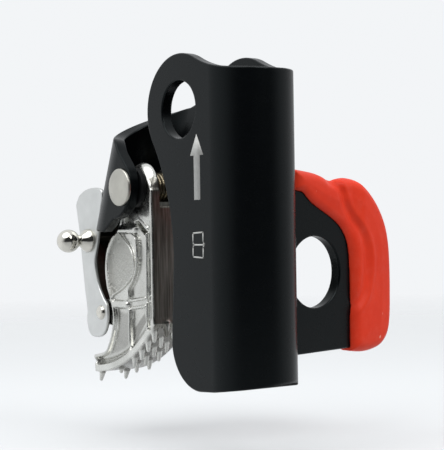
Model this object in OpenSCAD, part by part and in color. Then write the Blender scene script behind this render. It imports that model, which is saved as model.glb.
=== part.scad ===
// Chest ascender: a bent-sheet frame with a rope channel, a toothed cam that
// hangs open on its axle, a catch lever with a ball knob, and a rear grip.
// Frame: Z runs up the rope, the rope channel's axis is x = 0, y = 0, and z = 0
// is at half height. The front flange faces -Y and the cam hangs on the -X side.

/* [Sheet frame] */
// Thickness of the bent aluminium sheet
sheet_t = 3; // [2.8:0.1:3.2]
// Inner radius of the rope channel and of the axle bend
channel_r = 8; // [7.9:0.1:8.2]
// Height of the channel's top edge above the middle
channel_top = 35; // [34:0.5:35]
// Depth of the channel's bottom edge below the middle
channel_bottom = 38.2; // [37:0.2:38.2]
// Depth of the front flange's lower corner below the middle
flange_bottom = 39.3; // [39:0.1:39.5]

/* [Upper eye] */
// Distance of the eye's centre from the channel's axis
eye_x = 12.2; // [12:0.1:12.6]
// Height of the eye's centre
eye_z = 26.6; // [26:0.2:27]
// Radius of the eye hole
eye_r = 6.8; // [6:0.1:7]
// Radius of the rounded hump around the eye
hump_r = 13.3; // [13.1:0.1:13.5]

/* [Cam] */
// Distance of the axle from the channel's axis
axle_x = 37.7; // [37.6:0.1:37.8]
// Height of the axle
axle_z = 9.1; // [9:0.1:9.2]
// Width of the cam across its toothed face
cam_w = 13; // [12.6:0.1:13.2]
// Radius of the cam's hub
hub_r = 6.4; // [6:0.1:6.6]
// Angle along the arc between the teeth of one column
tooth_pitch = 6.2; // [6:0.1:6.6]
// Length of a tooth above the arc
tooth_h = 2.6; // [2:0.1:2.6]

/* [Axle] */
// Outer radius of the sleeve that the cam turns on
sleeve_r = 2.6; // [2.5:0.05:2.65]
// Radius of the rivet's shank inside the sleeve
rivet_r = 2; // [1.8:0.1:2]
// Radius of the rivet's front head
rivet_head_r = 4.7; // [4.4:0.1:4.8]

/* [Catch lever] */
// Thickness of the lever's stamped plate
lever_t = 1; // [0.9:0.05:1.05]
// Radius of the lever's pivot pin
pivot_r = 1.4; // [1.2:0.1:1.5]
// Radius of the ball on the pull knob
ball_r = 3.05; // [2.8:0.05:3.2]

/* [Grip] */
// Angle between the grip flap and a straight rearward line
grip_turn = 7; // [6:0.5:8]
// Radius of the attachment hole in the grip flap
grip_hole_r = 8.8; // [8:0.1:9]
// Thickness of the rubber cover across the flap
cover_t = 8; // [7.6:0.2:8.4]

/* [Hidden] */
$fn = 64;
lap = 0.4;              // how far the flat sheet runs into the second bend
step = 0.01;            // how far the second bend stands proud of the flat sheet

outer_r = channel_r + sheet_t;      // outside of both bends
eye = [-eye_x, eye_z];
axle = [-axle_x, axle_z];

// Saddle: a concave arc from the hump down to the channel's top edge
saddle_x = 9;
hump_rise = channel_top - eye_z;
saddle_r = (pow(saddle_x + eye_x, 2) + pow(hump_rise, 2) - pow(hump_r, 2))
           / (2 * (hump_r - hump_rise));
saddle = [saddle_x, channel_top + saddle_r];
saddle_a = atan2(saddle[1] - eye[1], saddle[0] - eye[0]);

// Waist: a wide concave arc down the flange's left edge, tangent to the hump
waist_x = -15.2;
waist_z = -8.8;
waist_dx = waist_x - eye[0];
waist_r = (pow(waist_dx, 2) + pow(eye[1] - waist_z, 2) - pow(hump_r, 2))
          / (2 * (hump_r + waist_dx));
waist = [waist_x - waist_r, waist_z];
waist_a = atan2(waist[1] - eye[1], waist[0] - eye[0]) + 360;

// Lower left corner of the flange
corner_r = 11.2;
corner = [-5.2, corner_r - flange_bottom];

// The axle bend: a half tube whose axis leans over in the XZ plane
bend_x = -42.2;
bend_z = 9;
bend_lean = 21.3;
bend_top = 25.2;        // height of its cut top edge at y = 0
bend_slope = 24.2;      // slope of that edge from front to rear, degrees
bend_low = -2;          // lower edge of the bend and the bracket
bend_notch_z = 7;       // upper edge of the notch that the catch swings through
bend_notch_y = 7;

// Grip flap, measured along it from the rear face of the sheet
flap_r = 3;             // inside radius of the flap's bend
flap_bottom = -32.6;
flap_hole_u = 13.3;
flap_hole_z = -12.6;

// Cam: places are from the axle, in the open (hanging) position
arc_c = [-60.0, -0.45] - axle;      // centre of the toothed arc
arc_r = 38.5;
arc_a0 = -88.6;
arc_a1 = -40.3;
cam_top = -4.8;                      // below this the cam is full width
ear_t = 2.9;
cam_right = 6.8;
lug = [-55.6, -23.1] - axle;         // the catch lever's pivot
lug_r = 3.3;
lug_w = 10.4;
lug_slot = 4.4;
run = 0.05;                          // radial running clearance
washer_r = 5;
washer_gap = 0.1;                    // on each side of the cam's two washers

// Catch lever and knob
lever_w = 12.8;
knob_z = -4.3;
knob_x = -61.4;
ball_y = -12.5;

// Points of an arc, from angle a0 to a1
function arc(c, r, a0, a1, n) =
    [for (i = [0:n]) c + r * [cos(a0 + (a1 - a0) * i / n), sin(a0 + (a1 - a0) * i / n)]];
function bend_edge(z) = bend_x + (z - bend_z) * tan(bend_lean);
function turned(p, a) = [p[0] * cos(a) - p[1] * sin(a), p[0] * sin(a) + p[1] * cos(a)];

// A flat XZ outline, given a thickness from y0 towards -Y
module slab(y0, t) {
    translate([0, y0, 0]) rotate([90, 0, 0]) linear_extrude(t) children();
}

// A round bar along Y between y0 and y1, at a place in XZ
module bar(p, r, y0, y1) {
    translate([p[0], y1, p[1]]) rotate([90, 0, 0]) cylinder(r = r, h = y1 - y0);
}

// --- Frame -----------------------------------------------------------------

// The channel's edge profile seen from the front, right of x = 0
module channel_profile() {
    polygon(concat(
        [[0, -flange_bottom + 0.9], [6, -channel_bottom], [outer_r + 1, -channel_bottom],
         [outer_r + 1, channel_top]],
        arc(saddle, saddle_r, 270, 270 - asin(saddle_x / saddle_r), 10)));
}

module channel() {
    intersection() {
        difference() {
            translate([0, 0, -45]) cylinder(r = outer_r, h = 90);
            translate([0, 0, -46]) cylinder(r = channel_r, h = 92);
        }
        slab(outer_r + 1, 2 * outer_r + 2) channel_profile();
    }
}

// The outline above the eye, shared by both sides: x = 0 back to the hump
function hump_points(a1) = concat(
    arc(saddle, saddle_r, 270 - asin(saddle_x / saddle_r), 180 + saddle_a, 12),
    arc(eye, hump_r, saddle_a + 4, a1, 24));

module front_flange() {
    slab(-channel_r, sheet_t) polygon(concat(
        hump_points(waist_a),
        arc(waist, waist_r, waist_a - 182, 0, 18),
        arc(corner, corner_r, 180, 270, 16),
        [[0, -flange_bottom + 0.9]]));
}

module rear_plate() {
    slab(outer_r, sheet_t) polygon(concat(
        hump_points(150),
        [[-25.2, 31.9], [-27.2, 31.4], [bend_edge(29.5) - lap, 29.5],
         [bend_edge(bend_low) - lap, bend_low]],
        arc([-41.8, 4], 6.2, 285, 310, 4),
        [[-29, 3.6], [-22, 7.2], [-14, 10], [-8, 11.4]],
        arc([-2, 10.5], 1.5, 150, 60, 4),
        [[0, 12]]));
}

module bracket() {
    slab(-channel_r, sheet_t) polygon(concat(
        [[bend_edge(bend_low) - lap, bend_low]],
        arc([-42, 9.5], 8.3, 270, 395, 22),
        [[-36.9, 17.1], [bend_edge(20.6) - lap, 20.6]]));
}

// The second bend: a leaning half tube, left of the fold lines. It is a hair
// thicker than the flat sheet so that the two join in a clean step
module axle_bend() {
    difference() {
        intersection() {
            translate([bend_x, 0, bend_z]) rotate([0, bend_lean, 0]) difference() {
                translate([0, 0, -30]) cylinder(r = outer_r + step, h = 60);
                translate([0, 0, -31]) cylinder(r = channel_r - step, h = 62);
            }
            slab(outer_r + 1, 2 * outer_r + 2)
                polygon([[-75, bend_low], [bend_edge(bend_low), bend_low],
                         [bend_edge(40), 40], [-75, 40]]);
        }
        // the sloping top edge
        translate([-90, 0, bend_top]) rotate([bend_slope, 0, 0])
            translate([0, -40, 0]) cube([90, 80, 60]);
    }
}

// The flap and its bend seen from above, x = 0 back to the flap's end
module flap_profile() {
    c = [0, outer_r + flap_r];
    turn = 180 - grip_turn;
    polygon(concat(
        arc(c, flap_r, 270, turn + 2 * grip_turn, 10),
        [c + turned([-flap_r, 36], grip_turn), c + turned([-flap_r - sheet_t, 36], grip_turn)],
        arc(c, flap_r + sheet_t, turn + 2 * grip_turn, 270, 10)));
}

// Outline of the metal flap: u runs rearward along it, v is up
module flap_outline() {
    polygon(concat(
        [[-8, flap_bottom], [25.5, flap_bottom + 0.5], [28, flap_bottom + 1.8]],
        arc([34, -26], 4, -80, 0, 6),
        arc([28, -6], 10, 0, 70, 8),
        [[24, 5], [16, 6.5], [-8, 9]]));
}

// Takes a (u, v) outline to the flap's plane, n0..n0+t outward from its near face
module on_flap(n0, t) {
    translate([0, outer_r + flap_r, 0]) rotate([0, 0, grip_turn])
        translate([n0 - flap_r, -flap_r, 0])
        rotate([90, 0, 90]) linear_extrude(t) children();
}

module flap() {
    intersection() {
        translate([0, 0, flap_bottom - 2]) linear_extrude(14 - flap_bottom) flap_profile();
        on_flap(-12, 24) flap_outline();
    }
}

module frame() {
    color([0.17, 0.19, 0.20]) difference() {
        union() {
            channel();
            front_flange();
            rear_plate();
            axle_bend();
            bracket();
            flap();
        }
        bar(eye, eye_r, -20, 20);
        bar(axle, rivet_r, -20, 20);
        // notch for the catch lever
        translate([-80, -bend_notch_y, -20]) cube([38, 2 * bend_notch_y, 20 + bend_notch_z]);
        // attachment hole in the flap
        on_flap(-sheet_t - 1, sheet_t + 2) translate([flap_hole_u, flap_hole_z])
            circle(r = grip_hole_r);
    }
}

// --- Grip cover ------------------------------------------------------------

module cover_outline() {
    polygon(concat(
        [[6.2, 12.6], [12.5, 11.9], [19, 10.3], [24.6, 10.6]],
        arc([26.5, -4], 14.5, 84, 12, 14),
        [[41, -10], [41, -18.2]],
        arc([35.2, -27], 5.8, 0, -90, 8),
        [[29.3, -33.1], [25.4, -32.9], [25.4, -9]],
        arc([17.4, -9], 8, 0, 56, 8),
        [[18.1, 0.6], [14.5, 2.4], [10.9, 4.8], [6.2, 8]]));
}

module grip_cover() {
    color([0.80, 0.20, 0.14]) difference() {
        union() {
            on_flap(-sheet_t - 1.5, sheet_t + 3) cover_outline();
            on_flap(-(cover_t + sheet_t) / 2, cover_t) intersection() {
                cover_outline();
                translate([27.5, -36]) square([20, 50]);
            }
        }
        on_flap(-sheet_t, sheet_t) flap_outline();
    }
}

// --- Axle ------------------------------------------------------------------

module axle_rivet() {
    color("silver") {
        bar(axle, rivet_r, -outer_r - 0.4, outer_r + 0.9);
        translate([axle[0], -outer_r, axle[1]]) rotate([90, 0, 0]) intersection() {
            cylinder(r = rivet_head_r, h = 2);
            translate([0, 0, 1.3 - 16]) sphere(r = 16);
        }
        translate([axle[0], outer_r + 0.8, axle[1]]) rotate([-90, 0, 0])
            cylinder(r1 = 3.6, r2 = 2.8, h = 0.9);
    }
}

module axle_rear_collar() {
    color("silver") difference() {
        bar(axle, 4.6, outer_r, outer_r + 0.8);
        bar(axle, rivet_r, 0, 20);
    }
}

module axle_sleeve() {
    color("lightsteelblue") difference() {
        bar(axle, sleeve_r, -channel_r, channel_r);
        bar(axle, rivet_r, -20, 20);
    }
}

// A washer between the cam and one side of the frame; y0 and y1 are its faces
module axle_washer(y0, y1) {
    color("dimgray") difference() {
        bar(axle, washer_r, y0, y1);
        bar(axle, sleeve_r + run, -20, 20);
    }
}

module axle_washer_front() {
    axle_washer(-channel_r + washer_gap, -cam_w / 2 - washer_gap);
}

module axle_washer_rear() {
    axle_washer(cam_w / 2 + washer_gap, channel_r - washer_gap);
}

// --- Cam -------------------------------------------------------------------

// Outline in the cam's own XZ places, measured from the axle
module cam_outline() {
    circle(r = hub_r);
    polygon(concat(
        [[-6.2, -1.5], [-9.2, -10.1], [-12.5, -12.7], [-14.8, -15.8]],
        arc([-9.9, -21.6], 6, 180, 235, 6),
        [[-12.9, -29.6], [-12.3, -33], [-12.9, -36.5], [-14.5, -40], [-16.6, -42.5],
         [-22.1, -43.4], [-23.1, -46.9]],
        arc(arc_c, arc_r, arc_a0, arc_a1, 18),
        [[cam_right, -32.5], [cam_right, -8.3], [6.4, -1]]));
}

module tooth(a, y, length = tooth_h) {
    p = arc_c + arc_r * [cos(a), sin(a)];
    lean = -90 + 0.5 * (a + 45);
    translate([p[0], y, p[1]]) rotate([0, -lean + 90, 0]) translate([0, 0, -0.9])
        cylinder(r1 = 0.95, r2 = 0.35, h = length + 0.9, $fn = 12);
}

module cam() {
    color("gainsboro") translate([axle[0], 0, axle[1]]) {
        difference() {
            slab(cam_w / 2, cam_w) cam_outline();
            // fork for the torsion spring
            translate([-10, ear_t - cam_w / 2, cam_top])
                cube([20, cam_w - 2 * ear_t, 20]);
            bar([0, 0], sleeve_r + run, -20, 20);
            // recess in the front and rear faces
            for (s = [-1, 1]) translate([-10.2, s * cam_w / 2, -19.5]) rotate([90, 0, 0])
                cylinder(r = 4.2, h = 2, center = true);
        }
        difference() {
            slab(lug_w / 2, lug_w) union() {
                translate(lug) circle(r = lug_r);
                polygon([lug + [0, 3.2], [-12, -27], [-11.5, -36], lug - [0, 3.2]]);
            }
            // room for the catch spring, and the pin's bore
            translate([lug[0] - 5, -lug_slot / 2, lug[1] - 4]) cube([8.6, lug_slot, 8]);
            bar(lug, pivot_r + run, -20, 20);
        }
        // staggered columns, as y, the first angle and the last tooth's number
        for (column = [[-5.3, -62, 3], [-2.2, -67, 4], [0.6, -63.4, 3], [3.4, -49, 1]])
            for (i = [0:column[2]]) tooth(column[1] + i * tooth_pitch, column[0]);
        tooth(-85.5, -5.3);
        tooth(-73, -4.6, tooth_h - 1.1);
        tooth(-81.5, 0.6);
    }
}

// --- Springs ---------------------------------------------------------------

// A torsion spring on a Y axis: a straight leg, the coils, and a second leg.
// leg0 and leg1 are the far ends of the legs, as [x, y, z] from the centre.
function spring_path(r, turns, y0, y1, leg0, leg1) = concat(
    [leg0],
    [for (i = [0:turns * 12]) let (a = 180 + i * 30)
        [r * cos(a), y0 + (y1 - y0) * i / (turns * 12), r * sin(a)]],
    [leg1]);

function unit(v) = v / norm(v);
function along(path, i) =
    unit(path[min(i + 1, len(path) - 1)] - path[max(i - 1, 0)]);

// One closed skin around a path, with a ring of sides points at each of its points
module wire(path, r, sides) {
    n = len(path);
    rings = [for (i = [0:n - 1])
        let (t = along(path, i), u = unit(cross(t, [0.02, 1, 0.01])), v = cross(t, u))
            for (k = [0:sides - 1]) path[i] + r * (cos(360 * k / sides) * u
                                                   + sin(360 * k / sides) * v)];
    walls = [for (i = [0:n - 2], k = [0:sides - 1])
        [i * sides + k, i * sides + (k + 1) % sides,
         (i + 1) * sides + (k + 1) % sides, (i + 1) * sides + k]];
    polyhedron(rings, concat(walls, [[for (k = [sides - 1:-1:0]) k]],
                             [[for (k = [0:sides - 1]) (n - 1) * sides + k]]));
}

module cam_spring() {
    color("goldenrod") translate([axle[0], 0, axle[1]])
        wire(spring_path(3.35, 5.5, -2.9, 2.9, [-9.5, -2.9, 1], [3.35, 2.9, -4.2]), 0.48, 8);
}

module catch_sleeve() {
    color("silver") translate([axle[0], 0, axle[1]]) difference() {
        bar(lug, 1.85, -lug_slot / 2 + 0.05, lug_slot / 2 - 0.05);
        bar(lug, pivot_r, -20, 20);
    }
}

module catch_spring() {
    color("goldenrod") translate([axle[0] + lug[0], 0, axle[1] + lug[1]])
        wire(spring_path(2.3, 4.5, -1.6, 1.6, [-5.9, -1.6, 2.4], [2.4, 1.6, 4.4]), 0.32, 8);
}

// --- Catch lever -----------------------------------------------------------

module lever_outline() {
    polygon([[-68.6, 5.4], [-68, 6.5], [-66.2, 7.8], [-63.4, 9.1], [-60.5, 9.7],
             [-56, 9.6], [-54.6, 9.1], [-54, 8.1], [-56, 0.5], [-57, -5], [-58.6, -10],
             [-56.9, -15.8], [-54.6, -19.2], [-53, -20.9], [-52.4, -23.2], [-52.6, -25.6],
             [-53.8, -27.9], [-55.4, -29.1], [-57.4, -29.8], [-60.2, -29.7], [-62, -28.6],
             [-62.9, -26], [-63.4, -22.6], [-64.5, -17.3], [-65.7, -9.9], [-67, -1.4]]);
}

module web_outline() {
    polygon([[-68.6, 5.4], [-67, -1.4], [-65.7, -9.9], [-64.5, -17.3], [-63.4, -22.6],
             [-62.4, -22.6], [-63.5, -17.3], [-64.7, -9.9], [-66, -1.4], [-67.5, 5.6]]);
}

module catch_lever() {
    color("lightgray") difference() {
        union() {
            slab(-lever_w / 2 + lever_t, lever_t) lever_outline();
            slab(lever_w / 2, lever_t) lever_outline();
            slab(lever_w / 2 - lever_t, lever_w - 2 * lever_t) web_outline();
        }
        bar(axle + lug, pivot_r, -20, 20);
        bar([knob_x, knob_z], 1.2, -20, 20);
    }
}

module catch_pivot() {
    p = axle + lug;
    color("silver") {
        bar(p, pivot_r, -lever_w / 2, lever_w / 2);
        for (s = [-1, 1]) translate([p[0], s * lever_w / 2, p[1]]) rotate([-s * 90, 0, 0])
            intersection() {
                cylinder(r = 1.9, h = 2);
                translate([0, 0, 0.85 - 2.6]) sphere(r = 2.6);
            }
    }
}

module pull_knob() {
    y0 = -lever_w / 2;
    color("silver") translate([knob_x, 0, knob_z]) {
        translate([0, ball_y, 0]) sphere(r = ball_r);
        // neck and flared collar, turned about the knob's axis
        translate([0, y0, 0]) rotate([90, 0, 0]) rotate_extrude() polygon([
            [0, 0], [3.1, 0], [3.1, 0.7], [2.5, 1.5], [1.6, 2.4], [1.35, 3.2], [1.5, 4],
            [2.2, 4.8], [0, 6]]);
        translate([0, y0, 0]) rotate([-90, 0, 0]) cylinder(r = 1.2, h = lever_w + 0.7);
    }
}

module knob_washer() {
    color("silver") translate([knob_x, lever_w / 2, knob_z]) rotate([-90, 0, 0])
        difference() {
            cylinder(r = 2.2, h = 0.5);
            translate([0, 0, -1]) cylinder(r = 1.2, h = 3);
        }
}

frame();
grip_cover();
axle_rivet();
axle_sleeve();
axle_washer_front();
axle_washer_rear();
axle_rear_collar();
cam();
cam_spring();
catch_lever();
catch_pivot();
catch_sleeve();
catch_spring();
pull_knob();
knob_washer();
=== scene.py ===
import bmesh
import bpy
import numpy as np
from math import acos, asin, atan2, cos, degrees, dist, pi, radians, sin, tan
from mathutils import Matrix, Vector
from mathutils.geometry import delaunay_2d_cdt


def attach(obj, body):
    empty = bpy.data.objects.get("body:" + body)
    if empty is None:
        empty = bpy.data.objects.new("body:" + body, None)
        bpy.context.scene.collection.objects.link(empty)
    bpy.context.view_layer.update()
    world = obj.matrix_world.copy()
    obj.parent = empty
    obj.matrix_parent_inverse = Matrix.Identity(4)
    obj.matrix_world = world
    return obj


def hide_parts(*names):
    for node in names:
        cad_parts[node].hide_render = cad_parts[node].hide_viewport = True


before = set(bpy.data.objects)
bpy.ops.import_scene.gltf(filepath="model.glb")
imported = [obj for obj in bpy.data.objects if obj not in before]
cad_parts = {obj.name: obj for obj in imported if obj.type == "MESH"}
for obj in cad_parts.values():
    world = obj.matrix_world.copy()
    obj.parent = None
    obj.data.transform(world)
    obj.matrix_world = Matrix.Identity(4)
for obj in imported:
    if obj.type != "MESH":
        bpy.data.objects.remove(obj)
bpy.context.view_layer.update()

MM = 0.001

# ---- dimensions

CHANNEL_R = 8  # inside radius of the rope channel and of the axle bend
SHEET = 3
MID_R = CHANNEL_R + SHEET / 2
OUTER_R = CHANNEL_R + SHEET
HALF_TURN = pi * MID_R
CHANNEL_TOP, CHANNEL_BOTTOM = 35, -38.2
EYE, EYE_R, HUMP_R = (-12.2, 26.6), 6.8, 13.29
AXLE = (-37.7, 9.1)
BEND, BEND_LEAN = (-42.2, 9), radians(21.3)
BEND_LOW, NOTCH_TOP, NOTCH_Y = -2, 7, 7
BEND_TOP, BEND_SLOPE = 25.2, radians(24.2)
FLAP_R, FLAP_TURN = 3, radians(7)
FLAP_HOLE, FLAP_HOLE_R = (13.3, -12.6), 8.8
FLAP_TOP = 8.5  # above all of the flap and below the axle side's pattern
CAM_HALF = 6.5
LUG, LUG_R = (-55.6, -23.1), 3.3
KNOB = (-61.4, -4.3)
KNOB_BALL_Y, KNOB_BALL_R, SHANK_R = -12.5, 3.05, 1.2
LEVER_HALF, LEVER_T = 6.4, 1
SLEEVE_R, RIVET_R, PIN_R = 2.6, 2, 1.4
WASHER_GAP, PLAY = 0.1, 0.05  # room beside the cam's washers and round its axle


# ---- outlines

def arc(centre, radius, start, end, steps):
    """Points of an arc, with its angles in degrees."""
    angles = np.radians(np.linspace(start, end, steps + 1))
    return [(centre[0] + radius * cos(a), centre[1] + radius * sin(a)) for a in angles]


def spline(a, b, c, d, steps):
    """Catmull-Rom points from b up to c, without c."""
    return [tuple(0.5 * (2 * b + (c - a) * t + (2 * a - 5 * b + 4 * c - d) * t ** 2
                         + (3 * b - a - 3 * c + d) * t ** 3)) for t in np.arange(steps) / steps]


def rounded(points):
    """A closed smooth curve through the points."""
    p = np.array(points, float)
    fours = zip(np.roll(p, 1, 0), p, np.roll(p, -1, 0), np.roll(p, -2, 0))
    return [q for four in fours for q in spline(*four, 6)]


def curve(points, steps):
    """An open smooth curve through the points."""
    p = [2 * np.array(points[0]) - points[1], *map(np.array, points),
         2 * np.array(points[-1]) - points[-2]]
    fours = zip(p, p[1:], p[2:], p[3:])
    return [q for four in fours for q in spline(*four, steps)] + [tuple(points[-1])]


def offset_loop(points, distance):
    """A closed outline moved to its right, with mitred corners, and the way each point moved."""
    p = np.array(points, float)
    edge = np.roll(p, -1, 0) - p
    edge /= np.linalg.norm(edge, axis=1)[:, None]
    right = np.stack([edge[:, 1], -edge[:, 0]], 1)
    both = right + np.roll(right, 1, 0)
    both /= np.linalg.norm(both, axis=1)[:, None]
    mitre = 1 / np.maximum((both * right).sum(1), 0.5)
    return p + both * (distance * mitre)[:, None], both


def away(centre, x, z):
    """Distance from (x, z) to a centre."""
    return np.hypot(x - centre[0], z - centre[1])


def inside(points, x, z):
    """True where (x, z) is inside a closed outline."""
    hit = np.zeros(np.broadcast(x, z).shape, bool)
    for (x0, z0), (x1, z1) in zip(points, [*points[1:], points[0]]):
        if z0 != z1:
            hit ^= ((z0 > z) != (z1 > z)) & (x < (x1 - x0) * (z - z0) / (z1 - z0) + x0)
    return hit


# ---- solids from distances

def line_distance(points, x, z):
    """Distance from (x, z) to an open line through the points."""
    best = np.full(np.broadcast(x, z).shape, 1e9)
    for (x0, z0), (x1, z1) in zip(points, points[1:]):
        dx, dz = x1 - x0, z1 - z0
        t = np.clip(((x - x0) * dx + (z - z0) * dz) / (dx * dx + dz * dz + 1e-12), 0, 1)
        best = np.minimum(best, np.hypot(x - x0 - t * dx, z - z0 - t * dz))
    return best


def outline_distance(points, x, z):
    """Distance from (x, z) to a closed outline, negative inside it."""
    d = line_distance([*points, points[0]], x, z)
    return np.where(inside(points, x, z), -d, d)


def smooth_max(a, b, k):
    """The larger of two distances, blended where they differ by less than k."""
    h = np.maximum(k - np.abs(a - b), 0) / k
    return np.maximum(a, b) + h * h * k / 4


def smooth_min(a, b, k):
    return -smooth_max(-a, -b, k)


def rise(low, high, value):
    """0 below low, 1 above high, and smooth in between."""
    t = np.clip((value - low) / (high - low), 0, 1)
    return t * t * (3 - 2 * t)


def surface_net(field, low, step):
    """Points and quads of the zero level of a grid of distances, negative inside."""
    corners = np.array([(i, j, k) for i in (0, 1) for j in (0, 1) for k in (0, 1)])
    solid = field < 0
    size = np.array(field.shape) - 1
    count = sum(solid[i:size[0] + i, j:size[1] + j, k:size[2] + k].astype(np.int8)
                for i, j, k in corners)
    cells = np.argwhere((count > 0) & (count < 8))
    index = np.full(size, -1)
    index[tuple(cells.T)] = np.arange(len(cells))
    total, hits = np.zeros((len(cells), 3)), np.zeros(len(cells))
    for a in corners:
        for b in corners[(corners - a).sum(1) * (np.abs(corners - a).sum(1) == 1) == 1]:
            fa, fb = field[tuple((cells + a).T)], field[tuple((cells + b).T)]
            cut = (fa < 0) != (fb < 0)
            t = np.where(cut, fa / np.where(cut, fa - fb, 1), 0)[:, None]
            total += np.where(cut[:, None], a + t * (b - a), 0)
            hits += cut
    points = np.array(low) + step * (cells + total / hits[:, None])
    quads = []
    for axis in range(3):
        u, v = np.eye(3, dtype=int)[[(axis + 1) % 3, (axis + 2) % 3]]
        here = solid.take(range(size[axis]), axis)
        there = solid.take(range(1, size[axis] + 1), axis)
        for turned, change in ((False, here & ~there), (True, ~here & there)):
            edges = np.argwhere(change)
            loop = [index[tuple((edges - s).T)] for s in (u + v, v, 0 * u, u)]
            quads.append(np.stack(loop[::-1] if turned else loop, 1))
    return points, np.concatenate(quads)


def cast(field, low, high, step):
    """Points and quads of a field's zero level between two corners, on a grid of one step."""
    axes = [np.arange(a, b + step, step) for a, b in zip(low, high)]
    return surface_net(field(*np.ix_(*axes)), low, step)


# ---- meshes

def placed(name, data):
    """A new object in the scene."""
    made = bpy.data.objects.new(name, data)
    bpy.context.scene.collection.objects.link(made)
    return made


def piece(name, points, faces, material, body, slot, replaces=(), normals=None, masks={}):
    """Makes a mesh from points in millimetres, with normals and masks for each point."""
    mesh = bpy.data.meshes.new(name)
    mesh.from_pydata((np.array(points) * MM).tolist(), [], [list(map(int, f)) for f in faces])
    mesh.validate()
    mesh.shade_smooth()
    if normals is None:
        work = bmesh.new()
        work.from_mesh(mesh)
        bmesh.ops.recalc_face_normals(work, faces=work.faces)
        work.to_mesh(mesh)
        work.free()
    else:
        mesh.normals_split_custom_set_from_vertices(np.array(normals).tolist())
    for mask, values in masks.items():
        attribute = mesh.attributes.new(mask, "FLOAT", "POINT")
        attribute.data.foreach_set("value", np.array(values, np.float32))
    mesh.materials.append(material)
    made = placed(name, mesh)
    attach(made, body)
    if replaces:
        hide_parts(*replaces)


def turned(rows, centre, sides=96):
    """Points and faces of a profile of (radius, y) turned about the Y axis at centre."""
    angle = np.linspace(0, 2 * pi, sides, endpoint=False)
    points, rings = [], []
    for r, y in rows:
        ring = [*zip(r * np.cos(angle), r * np.sin(angle))] if r else [(0, 0)]
        rings.append(range(len(points), len(points) + len(ring)))
        points += [(centre[0] + a, y, centre[1] + b) for a, b in ring]
    faces = []
    for near, far in zip(rings, rings[1:] + rings[:rows[0][0] > 0]):
        for k in range(sides):
            m = (k + 1) % sides
            face = [ring[i % len(ring)] for ring, i in ((near, k), (near, m), (far, m), (far, k))]
            faces.append(list(dict.fromkeys(face)))
    return points, faces


def ring_profile(inner, outer, y0, y1, edge=0.15):
    """Profile of a washer or sleeve with rounded edges."""
    right, left, low, high = outer - edge, inner + edge, y0 + edge, y1 - edge
    corners = [(right, low, 270), (right, high, 0), (left, high, 90), (left, low, 180)]
    return [p for r, y, a in corners for p in arc((r, y), edge, a, a + 90, 4)]


def wire(path, radius, sides=16):
    """Points and faces of a round wire along a path, with domed ends."""
    p = np.array(path, float)
    tangent = np.gradient(p, axis=0)
    tangent /= np.linalg.norm(tangent, axis=1)[:, None]
    side = np.cross(tangent[0], (0, 1, 0.1))
    points, last = [], len(p) - 1
    # every ring's place on the path, and its shift and size in radii
    rows = [(0, -1, 0.25), (0, -0.6, 0.8), *[(i, 0, 1) for i in range(len(p))],
            (last, 0.6, 0.8), (last, 1, 0.25)]
    angle = np.linspace(0, 2 * pi, sides, endpoint=False)
    for i, along, size in rows:
        side = side - tangent[i] * (side @ tangent[i])
        side /= np.linalg.norm(side)
        other = np.cross(tangent[i], side)
        centre = p[i] + tangent[i] * along * radius
        points += [centre + radius * size * (cos(a) * side + sin(a) * other)
                   for a in angle]
    rings = [list(range(i * sides, (i + 1) * sides)) for i in range(len(rows))]
    faces = [[a[k], a[(k + 1) % sides], b[(k + 1) % sides], b[k]]
             for a, b in zip(rings, rings[1:]) for k in range(sides)]
    faces += [rings[0][::-1], rings[-1]]
    return points, faces


def coil(centre, radius, turns, y0, y1, leg0, leg1):
    """Path of a torsion spring on a Y axis, with its two legs' far ends from the centre."""
    steps = int(turns * 28)  # points in all the turns
    a = np.pi + np.arange(steps + 1) * 2 * np.pi * turns / steps
    y = np.linspace(y0, y1, steps + 1)
    body = np.stack([radius * np.cos(a), y, radius * np.sin(a)], 1)
    legs = [np.linspace(leg0, body[0], 10)[:-1], body, np.linspace(body[-1], leg1, 10)[1:]]
    path = np.concatenate(legs)
    for _ in range(3):
        path[1:-1] = (path[:-2] + 2 * path[1:-1] + path[2:]) / 4
    return path + np.array([centre[0], 0, centre[1]])


# ---- materials

class Nodes:
    """A node tree, with short calls for the nodes used here."""

    def __init__(self, tree):
        self.tree = tree

    def feed(self, socket, value):
        """Sets a socket to a number, vector or colour, or links it to another socket."""
        if isinstance(value, (int, float, Vector)):
            socket.default_value = value
        elif isinstance(value, tuple):
            socket.default_value = (*value, 1)
        else:
            self.tree.links.new(value, socket)

    def node(self, kind, inputs={}, output=0, **settings):
        """Makes a node, feeds its inputs by their name or number, and gives one output."""
        made = self.tree.nodes.new(kind)
        for key, value in settings.items():
            setattr(made, key, value)
        for key, value in inputs.items():
            self.feed(made.inputs[key], value)
        return made.outputs[output]

    def range(self, value, low, high, to_low=0, to_high=1, kind="LINEAR"):
        inputs = {"Value": value, "From Min": low, "From Max": high, "To Min": to_low,
                  "To Max": to_high}
        return self.node("ShaderNodeMapRange", inputs, "Result", interpolation_type=kind)

    def math(self, operation, a, b):
        return self.node("ShaderNodeMath", {0: a, 1: b}, operation=operation)

    def mix(self, factor, a, b):
        return self.node("ShaderNodeMix", {"Factor": factor, 6: a, 7: b}, 2, data_type="RGBA")


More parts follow.
